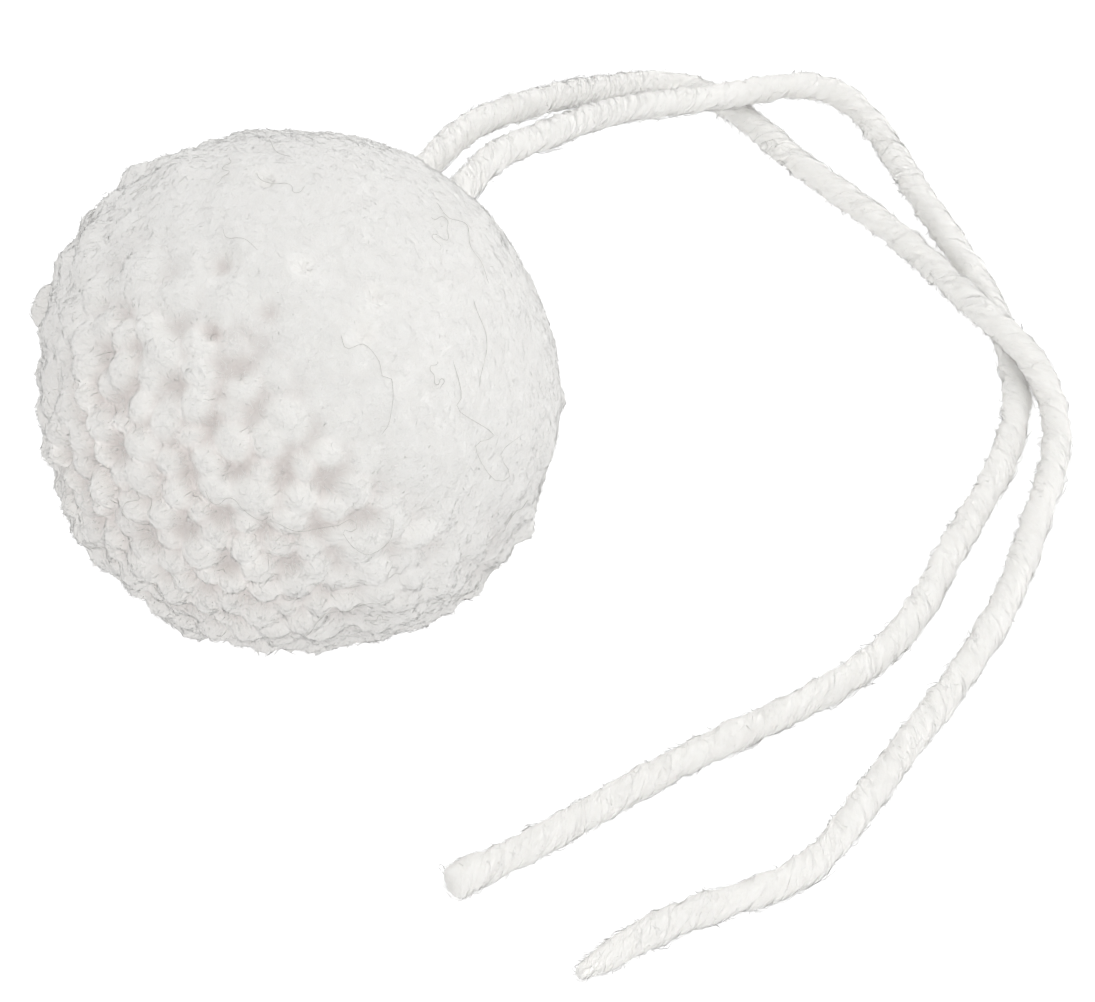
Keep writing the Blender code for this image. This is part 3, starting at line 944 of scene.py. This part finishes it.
class PomPomStage(Operator):
    """Make the camera, the table and the soft light."""

    bl_idname = "pompom.stage"
    bl_label = "Stage"

    def execute(self, context):
        settings = context.scene.pompom_stage
        scene = context.scene
        camera = bpy.data.objects.new("camera", bpy.data.cameras.new("camera"))
        camera.location = CAMERA_AT
        camera.rotation_euler = (CAMERA_TILT, 0.0, 0.0)
        camera.data.sensor_width = 36.0
        camera.data.lens = CAMERA_LENS
        camera.data.clip_start = 0.005
        scene.collection.objects.link(camera)
        scene.camera = camera

        # The camera sees the table. The yarn gets its light from below from a duller board just
        # under it, which the camera doesn't see, so that the yarn keeps its shade.
        for name, height, colour, glow in (
            ("table", 0.0, settings.floor, settings.glow),
            ("table_board", -0.0002, settings.board, settings.board_glow),
        ):
            half = 2.5
            points = [(x, y, height) for x, y in (
                (-half, -half), (half, -half), (half, half), (-half, half))]
            mesh = bpy.data.meshes.new(name)
            mesh.from_pydata(points, [], [(0, 1, 2, 3)])
            mesh.materials.append(table_finish(name, tuple(colour), glow))
            plane = bpy.data.objects.new(name, mesh)
            scene.collection.objects.link(plane)
            seen = name == "table"
            plane.visible_camera = seen
            plane.visible_diffuse = plane.visible_glossy = not seen
            plane.visible_shadow = False

        lamp = bpy.data.lights.new("key", "AREA")
        lamp.shape, lamp.size, lamp.energy = "DISK", 0.55, settings.key
        lamp.color = (1.0, 0.995, 0.985)
        key = bpy.data.objects.new("key", lamp)
        place = Vector((0.35, 0.06, 0.52))
        key.matrix_world = Matrix.Translation(place) @ (
            Vector((0.01, 0.0, 0.02)) - place).to_track_quat("-Z", "Y").to_matrix().to_4x4()
        scene.collection.objects.link(key)

        world = bpy.data.worlds.new("soft room")
        world.use_nodes = True
        sky = world.node_tree.nodes["Background"]
        sky.inputs["Color"].default_value = (1.0, 1.0, 1.0, 1.0)
        sky.inputs["Strength"].default_value = settings.sky
        scene.world = world
        scene.view_settings.view_transform = "Standard"
        scene.view_settings.look = "None"
        return {"FINISHED"}


class PomPomTails(Operator):
    """Make the two tails of the tie."""

    bl_idname = "pompom.tails"
    bl_label = "Tails"

    def execute(self, context):
        scene = context.scene
        settings, colours = scene.pompom_tails, scene.pompom_finish
        # colours.tail makes the tails' yarn a darker copy of the ball's: painted shade.
        yarn = yarn_finish(
            "tail_yarn", colours, (9.0, 9.0, 1.3), colours.tail, relief=0.00008, soft=0.002)
        finishes = [yarn, fuzz_finish(colours)]
        for name, seat, route, end_share in (
            ("tail_a_yarn", TAIL_A_SEAT, TAIL_A_ROUTE, TAIL_A_END),
            ("tail_b_yarn", TAIL_B_SEAT, TAIL_B_ROUTE, TAIL_B_END),
        ):
            tail = Tail(seat, route, end_share, settings, settings.seed + len(route))
            piece = make_tail(name, tail, scene.pompom_fuzz.thickness, finishes)
            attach(piece, BODY)
            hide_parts(name[:6])
            tuple(tail.line[0])
            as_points(tail.line)
        return {"FINISHED"}


class PomPomBall(Operator):
    """Make the clipped ball."""

    bl_idname = "pompom.ball"
    bl_label = "Ball"

    def execute(self, context):
        scene = context.scene
        ball, colours = scene.pompom_ball, scene.pompom_finish
        piece = make_ball(ball, yarn_finish("cut_yarn", colours, (9.0, 9.0, 9.0)))
        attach(piece, BODY)
        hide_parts("pom_pom")
        return {"FINISHED"}


class PomPomFuzz(Operator):
    """Make the short curled fibres over the ball, in four like pieces."""

    bl_idname = "pompom.fuzz"
    bl_label = "Fuzz"

    def execute(self, context):
        scene = context.scene
        settings = scene.pompom_fuzz
        finish = fuzz_finish(scene.pompom_finish)
        ball = fleece(scene.pompom_ball)
        layers = [make(settings, scene.pompom_ball) for make in (nap_paths, curl_paths)]
        for index, name in enumerate(("fuzz_front_left", "fuzz_back_left",
                                      "fuzz_front_right", "fuzz_back_right")):
            bodies, facing = [], []
            for path, thick, ways in layers:
                mine = (path[:, 0, 0] > 0.0) * 2 + (path[:, 0, 1] > 0.0) == index
                bodies.append(strands(path[mine], thick[mine]))
                own = 0.5 + 0.9 * ball.looseness(unit(path[mine, 0] - CENTRE))
                facing.append(lit_as(bodies[-1], ways[mine], own))
            piece = new_piece(name, joined(bodies), [finish], facing=np.concatenate(facing))
            piece.visible_shadow = piece.visible_diffuse = False  # they let the light by
            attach(piece, BODY)
        return {"FINISHED"}


class PomPomHairs(Operator):
    """Make the long stray hairs over the ball."""

    bl_idname = "pompom.hairs"
    bl_label = "Stray hairs"

    def execute(self, context):
        scene = context.scene
        colours = scene.pompom_finish
        # The hairs' grey colour is painted shade; dull drifts a little darker at random.
        dull = tuple(0.8 * c for c in colours.hair)
        finish = fibre_finish("stray_hair", tuple(colours.hair), dull, 0.7)
        path, thick = hair_paths(scene.pompom_fuzz, scene.pompom_ball)
        piece = new_piece("stray_hairs", strands(path, thick), [finish])
        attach(piece, BODY)
        return {"FINISHED"}


class PomPomPanel(Panel):
    """The makers of the pom pom, in order."""

    bl_idname = "VIEW3D_PT_pompom"
    bl_label = "Pom Pom"
    bl_space_type = "VIEW_3D"
    bl_region_type = "UI"
    bl_category = "Pom Pom"

    def draw(self, context):
        scene = context.scene
        for made, settings in (
            (PomPomStage, scene.pompom_stage), (PomPomTails, scene.pompom_tails),
            (PomPomBall, scene.pompom_ball), (PomPomFuzz, scene.pompom_fuzz),
            (PomPomHairs, scene.pompom_finish),
        ):
            box = self.layout.box()
            box.operator(made.bl_idname)
            for name in settings.__annotations__:
                box.prop(settings, name)


SETTINGS = {
    "pompom_ball": BallSettings, "pompom_tails": TailSettings, "pompom_fuzz": FuzzSettings,
    "pompom_finish": FinishSettings, "pompom_stage": StageSettings,
}
MAKERS = (PomPomStage, PomPomTails, PomPomBall, PomPomFuzz, PomPomHairs)


def register():
    for made in (*SETTINGS.values(), *MAKERS, PomPomPanel):
        bpy.utils.register_class(made)
    for name, group in SETTINGS.items():
        setattr(bpy.types.Scene, name, PointerProperty(type=group))


def unregister():
    for name in SETTINGS:
        delattr(bpy.types.Scene, name)
    for made in (PomPomPanel, *reversed(MAKERS), *SETTINGS.values()):
        bpy.utils.unregister_class(made)


def main():
    register()
    bpy.ops.pompom.stage()
    bpy.ops.pompom.tails()
    bpy.ops.pompom.ball()
    bpy.ops.pompom.fuzz()
    bpy.ops.pompom.hairs()


if __name__ == "__main__":
    main()
